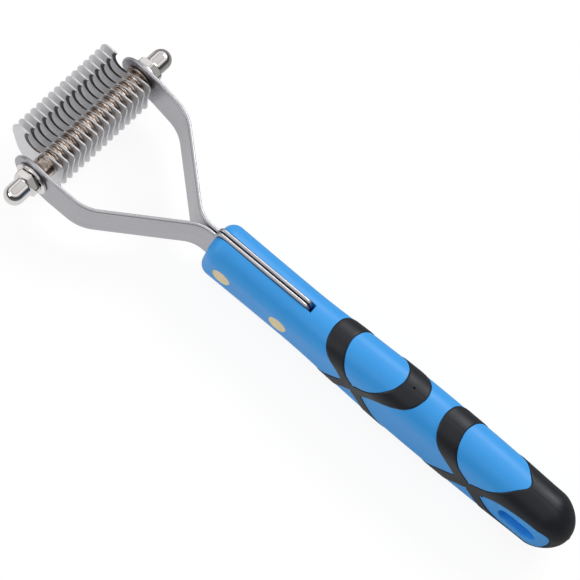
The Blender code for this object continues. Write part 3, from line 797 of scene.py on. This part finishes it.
def handle_body():
    """The grip as a loft of its rounded sections, with a point at the butt."""
    bm = bmesh.new()
    turns = [-2 + k / 22 for k in range(88)]
    rows = [[bm.verts.new(grip_point(x, t)) for t in turns] for x in handle_stations()]
    for row, after in zip(rows, rows[1:]):
        for k in range(len(turns)):
            j = (k + 1) % len(turns)
            bm.faces.new((row[k], row[j], after[j], after[k]))
    tip = bm.verts.new((HANDLE_X[1], 0, 0))
    for k in range(len(turns)):
        bm.faces.new((rows[-1][k], rows[-1][(k + 1) % len(turns)], tip))
    bm.faces.new(rows[0][::-1])
    bmesh.ops.recalc_face_normals(bm, faces=bm.faces)
    bmesh.ops.triangulate(bm, faces=bm.faces)
    return link(bpy.data.objects.new("handle", mesh_of("handle", bm)))


def rubber_stretches(kind, t, margin):
    """The stretches of rubber along the grip at a turn t, as (start, end, rows)."""
    fold = 2 - abs(t) if abs(t) > 1 else abs(t)
    if kind == "band":
        a, b = smooth(FRONT_OUTER, fold), smooth(FRONT_INNER, fold)
        c, d = smooth(BACK_INNER, fold), smooth(BACK_OUTER, fold)
        last = (d + margin, 6)
    else:
        a, b = smooth(CAP_OUTER, fold), smooth(CAP_INNER, fold)
        c, last = smooth(CAP_POINT, fold), (HANDLE_X[1], 34)
    if c - b > 2 * margin + 0.01:
        b, c = b + margin, c - margin
    else:
        b = c = (b + c) / 2
    return [(a - margin, b, 6), (c, *last)]


def rubber_rows(start, end, count, rim):
    """Stations of a stretch with the depth that each lies below the rubber's face."""
    if not rim:
        return [(start + (end - start) * k / count, 0.0) for k in range(count + 1)]
    size = min(1.0, (end - start) / 3)
    near = [(0.0, RIM_DROP)]
    near += [(d * size, RIM_DROP * (1 - d / EDGE_ROWS[-1]) ** 2) for d in EDGE_ROWS]
    rows = [(start + d, drop) for d, drop in near]
    last = rows[-1][0]
    far = end - near[-1][0] if end < HANDLE_X[1] else end
    for k in range(1, count + 1):
        u = k / (count + 1 if end < HANDLE_X[1] else count)
        if end >= HANDLE_X[1]:
            u = math.sin(u * math.pi / 2)
        rows.append((last + (far - last) * u, 0.0))
    if end < HANDLE_X[1]:
        rows += [(end - d, drop) for d, drop in reversed(near)]
    return rows


def rubber_surface(name, kind, margin=0.0, rim=True):
    """The rubber's outer face as an open surface wrapped on the grip."""
    bm = bmesh.new()
    count = COLUMNS_A_QUARTER
    turns = [-2 + k / count for k in range(4 * count)]
    columns = []
    for t in turns:
        column = []
        for start, end, rows in rubber_stretches(kind, t, margin):
            stretch = []
            for x, drop in rubber_rows(start, end, rows, rim):
                if x >= HANDLE_X[1] - 1e-6:
                    point = Vector((HANDLE_X[1] + RUBBER_PROUD, 0, 0))
                else:
                    point = grip_point(x, t, RUBBER_PROUD - drop)
                stretch.append(bm.verts.new(point))
            column.append(stretch)
        columns.append(column)
    for k, column in enumerate(columns):
        for stretch, after in zip(column, columns[(k + 1) % len(columns)]):
            for i in range(len(stretch) - 1):
                bm.faces.new((stretch[i], stretch[i + 1], after[i + 1]))
                bm.faces.new((stretch[i], after[i + 1], after[i]))
    bmesh.ops.remove_doubles(bm, verts=bm.verts, dist=1e-3)
    empty = [face for face in bm.faces if face.calc_area() < 1e-6]
    bmesh.ops.delete(bm, geom=empty, context="FACES")
    bmesh.ops.recalc_face_normals(bm, faces=bm.faces)
    top = max(bm.faces, key=lambda face: face.calc_center_median().z)
    if top.normal.z < 0:
        bmesh.ops.reverse_faces(bm, faces=bm.faces)
    return link(bpy.data.objects.new(name, mesh_of(name, bm)))


def thicken(obj, inward, outward=0.0):
    solid = obj.modifiers.new("Thickness", "SOLIDIFY")
    solid.thickness = inward + outward
    solid.offset = (outward - inward) / (inward + outward)
    solid.use_even_offset = True


def cut(obj, cutter):
    boolean = obj.modifiers.new("Cut", "BOOLEAN")
    boolean.operation = "DIFFERENCE"
    boolean.solver = "EXACT"
    boolean.object = cutter


def upright_tool(name, outline):
    """A cutter with its outline in XZ, long enough to pass through the handle."""
    bm = flat_plate(name, [outline], 12, matrix=UPRIGHT)
    return link(bpy.data.objects.new(name, mesh_of(name, bm)))


def leaf_outline(shrink=0.0):
    """The blue window on the butt's side: pointed in front, rounded behind."""
    upper = [(LEAF_TIP_X, 0)] + LEAF_EDGE
    outline = closed_curve(upper + [(x, -z) for x, z in reversed(upper[1:-1])], 6)
    half = (LEAF_EDGE[-1][0] - LEAF_TIP_X) / 2
    height = max(z for _, z in LEAF_EDGE)
    middle = LEAF_TIP_X + half
    return [(middle + (x - middle) * (1 - shrink / half), z * (1 - shrink / height))
            for x, z in outline]


def stadium(x, half_length, half_height, steps=20):
    flat = half_length - half_height
    right = [(x + flat + half_height * math.cos(k * math.pi / steps - math.pi / 2),
              half_height * math.sin(k * math.pi / steps - math.pi / 2)) for k in range(steps + 1)]
    return right + [(2 * x - px, -pz) for px, pz in right]


def hang_tool():
    """A cutter for the hanging hole, which flares a little where it meets each side."""
    bm = bmesh.new()
    rows = []
    far_side = tuple((-y, share) for y, share in reversed(FLARE_RUN))
    for y, share in far_side + FLARE_RUN:
        flare = HOLE_FLARE * share
        outline = stadium(HANG_HOLE_X, HANG_HOLE_LENGTH / 2 + flare, HANG_HOLE_HEIGHT / 2 + flare)
        rows.append([bm.verts.new((x, y, z)) for x, z in outline])
    for row, after in zip(rows, rows[1:]):
        for k in range(len(row)):
            j = (k + 1) % len(row)
            bm.faces.new((row[k], row[j], after[j], after[k]))
    bm.faces.new(rows[0][::-1])
    bm.faces.new(rows[-1])
    bmesh.ops.recalc_face_normals(bm, faces=bm.faces)
    return link(bpy.data.objects.new("hang", mesh_of("hang", bm)))


def slot_tool():
    corners = [(40, -SLOT_HALF_WIDTH), (SLOT_END_X, -SLOT_HALF_WIDTH),
               (SLOT_END_X, SLOT_HALF_WIDTH), (40, SLOT_HALF_WIDTH)]
    return link(bpy.data.objects.new("slot", mesh_of("slot", flat_plate("slot", [corners], 20))))


def build_handle(blue, rubber):
    body = handle_body()
    tools = [slot_tool(), hang_tool()]
    tools += [upright_tool(f"rivet_hole_{x}", circle(RIVET_HEAD_R + 0.03, 48, x)) for x in RIVET_X]
    for kind in ("band", "cap"):
        pocket = rubber_surface(f"{kind}_pocket", kind, GROOVE, rim=False)
        thicken(pocket, RUBBER_DEPTH + GROOVE, 0.5)
        if kind == "cap":
            window = upright_tool("window", leaf_outline(GROOVE))
            cut(pocket, window)
            tools.append(link(bpy.data.objects.new("cap_tool", baked(pocket))))
            bpy.data.objects.remove(window, do_unlink=True)
        else:
            tools.append(pocket)
    for tool in tools:
        cut(body, tool)
    mesh = baked(body)
    for tool in tools:
        bpy.data.objects.remove(tool, do_unlink=True)
    place_in_layout(mesh, blue)
    finish_piece("moulded_handle", mesh, "root", ["handle_core"], 30)
    for kind, node in (("band", "grip_band"), ("cap", "grip_butt_cap")):
        piece = rubber_surface(kind, kind)
        thicken(piece, RUBBER_DEPTH)
        if kind == "cap":
            tool = upright_tool("window", leaf_outline())
        else:
            tool = dimple_tool()
        cut(piece, tool)
        mesh = baked(piece)
        bpy.data.objects.remove(tool, do_unlink=True)
        place_in_layout(mesh, rubber)
        finish_piece(f"rubber_{node}", mesh, "root", [node], 38)


def place_in_layout(mesh, mat):
    mesh.transform(Matrix.Scale(MM, 4) @ LAYOUT)
    mesh.materials.clear()
    mesh.materials.append(mat)


def dimple_tool():
    """A small pit in the top of the rubber, where the mould was filled."""
    top = grip_point(DIMPLE_X, 0, RUBBER_PROUD).z
    pit = [(0, 0.3), (DIMPLE_R, 0.3), (DIMPLE_R, -0.2), (DIMPLE_R * 0.6, -0.45), (0, -0.5)]
    bm = lathe(pit, 24, closed=False)
    bmesh.ops.transform(bm, matrix=Matrix.Translation((DIMPLE_X, 0, top)) @ UPRIGHT, verts=bm.verts)
    return link(bpy.data.objects.new("dimple", mesh_of("dimple", bm)))


def build_rivets(mat):
    head_y, shank_r, step = HALF_WIDTHS[0], RIVET_SHANK_R, SLOT_HALF_WIDTH + CLEARANCE
    for node, x in zip(("rivet_front", "rivet_rear"), RIVET_X):
        end = [(0, head_y + 0.06), (1.4, head_y + 0.055), (2.5, head_y + 0.03),
               (RIVET_HEAD_R - 0.12, head_y), (RIVET_HEAD_R, head_y - 0.12),
               (RIVET_HEAD_R, step), (shank_r, step)]
        bm = lathe(end + [(r, -y) for r, y in reversed(end)], 64, closed=False)
        mesh = mesh_of(node, scaled(bm, LAYOUT @ Matrix.Translation((x, 0, 0))), [mat])
        finish_piece(f"brass_{node}", mesh, "root", [node], 30)


# ---- floor, lights and camera -----------------------------------------------------------------
# Painted reflection: in what the metal mirrors, the floor is a glow and not its lit self. How
# bright it glows there, before and after it fades, and where the fade runs
FLOOR_MIRRORED_GLOW_FAR = (0.74, 0.1, 0.11, 0.4)
FLOOR_MIRRORED_GLOW_SIDE = (0.74, 0.28, -0.012, 0.02)
FLOOR_MIRRORED_GLOW_TOWARDS = (0.35, 1.0, 0.0)
# The studio's bright side leans away from straight up
SKY_TOWARDS = (-0.28, 0.21, 1.0)
# Greys that the metal mirrors, from straight against that direction (0) to along it (1)
SKY_STOPS = (
    (0.0, 0.4), (0.49, 0.08), (0.57, 0.04), (0.68, 0.1), (0.78, 0.75),
    (0.87, 1.0), (0.92, 0.5), (0.965, 0.7), (1.0, 0.72),
)
SKY_STRENGTH = 0.96
# To the eye, this share of the floor is an even glow and only the rest is its real shading
FLOOR_GLOW_SHARE = 0.85
FLOOR_GLOW = 1.05


def floor_finish():
    """Pale to the eye with its shadow mostly washed out; in the metal, a painted reflection: a glow
    that fades with distance and towards one side.
    """
    look = Look("floor", (0.93, 0.93, 0.93), 0.9)
    look.tint(look.noise(4), (0.91, 0.91, 0.915), 1.0)
    away, across = look.nodes.new("ShaderNodeVectorMath"), look.nodes.new("ShaderNodeVectorMath")
    away.operation, across.operation = "LENGTH", "DOT_PRODUCT"
    across.inputs[1].default_value = FLOOR_MIRRORED_GLOW_TOWARDS
    for node in (away, across):
        look.links.new(look.place, node.inputs[0])
    # Painted reflection: the glow's strength in what the metal mirrors, the lower of a fade with
    # distance and a fade towards one side
    pool = look.nodes.new("ShaderNodeMath")
    pool.operation = "MINIMUM"
    look.links.new(look.spread(away.outputs["Value"], *FLOOR_MIRRORED_GLOW_FAR), pool.inputs[0])
    look.links.new(look.spread(across.outputs["Value"], *FLOOR_MIRRORED_GLOW_SIDE), pool.inputs[1])
    rays = look.nodes.new("ShaderNodeLightPath")
    surface = look.shader.outputs[0]
    for ray, share in (("Is Glossy Ray", 1.0), ("Is Camera Ray", FLOOR_GLOW_SHARE)):
        glow, mix = look.nodes.new("ShaderNodeEmission"), look.nodes.new("ShaderNodeMixShader")
        if ray == "Is Glossy Ray":
            look.links.new(pool.outputs[0], glow.inputs["Strength"])
        else:
            glow.inputs["Strength"].default_value = FLOOR_GLOW
        look.links.new(look.spread(rays.outputs[ray], 0, share, 0, 1), mix.inputs[0])
        look.links.new(surface, mix.inputs[1])
        look.links.new(glow.outputs[0], mix.inputs[2])
        surface = mix.outputs[0]
    look.links.new(surface, look.nodes["Material Output"].inputs["Surface"])
    return look.mat


def build_floor():
    bm = bmesh.new()
    bmesh.ops.create_grid(bm, x_segments=1, y_segments=1, size=4.0)
    obj = link(bpy.data.objects.new("floor", mesh_of("floor", bm, [floor_finish()])))
    obj.location.z = CAD_BOX[0].z - 0.0001


def area_light(name, place, towards, size, power):
    light = bpy.data.lights.new(name, "AREA")
    light.shape = "RECTANGLE"
    light.size, light.size_y = size
    light.energy = power
    obj = link(bpy.data.objects.new(name, light))
    obj.location = place
    obj.rotation_euler = (Vector(towards) - Vector(place)).to_track_quat("-Z", "Y").to_euler()


def build_world():
    """A studio that metal mirrors as a bright ceiling over a dark band, plain to the eye."""
    world = bpy.data.worlds.new("studio")
    world.use_nodes = True
    nodes, links = world.node_tree.nodes, world.node_tree.links
    lean = nodes.new("ShaderNodeVectorMath")
    lean.operation = "DOT_PRODUCT"
    lean.inputs[1].default_value = SKY_TOWARDS
    links.new(nodes.new("ShaderNodeTexCoord").outputs["Generated"], lean.inputs[0])
    height = nodes.new("ShaderNodeMapRange")
    height.inputs["From Min"].default_value = -1
    links.new(lean.outputs["Value"], height.inputs["Value"])
    ramp = nodes.new("ShaderNodeValToRGB")
    for k, (place, grey) in enumerate(SKY_STOPS):
        stop = ramp.color_ramp.elements[k] if k < 2 else ramp.color_ramp.elements.new(place)
        stop.position = place
        stop.color = (grey, grey, grey, 1)
    links.new(height.outputs["Result"], ramp.inputs["Fac"])
    plain = nodes.new("ShaderNodeMix")
    plain.data_type = "RGBA"
    plain.inputs[7].default_value = (1, 1, 1, 1)
    links.new(nodes.new("ShaderNodeLightPath").outputs["Is Camera Ray"], plain.inputs[0])
    links.new(ramp.outputs["Color"], plain.inputs[6])
    links.new(plain.outputs[2], nodes["Background"].inputs["Color"])
    nodes["Background"].inputs["Strength"].default_value = SKY_STRENGTH
    SCENE.world = world


def build_lights():
    area_light("ceiling", (0.1, 0.85, 0.85), (0, 0, 0), (0.7, 0.45), 5.4)
    area_light("front_fill", (-0.55, -0.75, 0.5), (0, 0, 0), (0.45, 0.45), 2.0)


# The view: turned and tipped round the object, rolled, and aimed near its middle
VIEW_AZIMUTH = math.radians(8.954)
VIEW_ELEVATION = math.radians(68.896)
VIEW_ROLL = math.radians(31.469)
VIEW_DISTANCE = 0.99184
AIM = Vector((-0.00816, 0.0009, 0.01465))
LENS = 210.24


def build_camera():
    camera = bpy.data.cameras.new("camera")
    camera.sensor_width = 36
    camera.lens = LENS
    camera.clip_start, camera.clip_end = 0.02, 20
    obj = link(bpy.data.objects.new("camera", camera))
    tip = math.pi / 2 - VIEW_ELEVATION
    turn = (Matrix.Rotation(VIEW_AZIMUTH, 4, "Z") @ Matrix.Rotation(tip, 4, "X")
            @ Matrix.Rotation(VIEW_ROLL, 4, "Z"))
    obj.matrix_world = Matrix.Translation(AIM) @ turn @ Matrix.Translation((0, 0, VIEW_DISTANCE))
    SCENE.camera = obj


def main():
    SCENE.view_settings.view_transform = "Standard"
    build_camera()
    build_world()
    build_lights()
    build_floor()
    build_blades([blade_steel(), ground_edge_painted_dark()])
    build_rings(turned_chrome())
    build_nuts(mirror_chrome())
    build_arms(strip_steel())
    build_handle(moulded_blue(), soft_rubber())
    build_rivets(pale_brass())
    rod = frame["nodes"]["axle_rod"]
    rod.data.materials.clear()
    rod.data.materials.append(plain_rod())


main()
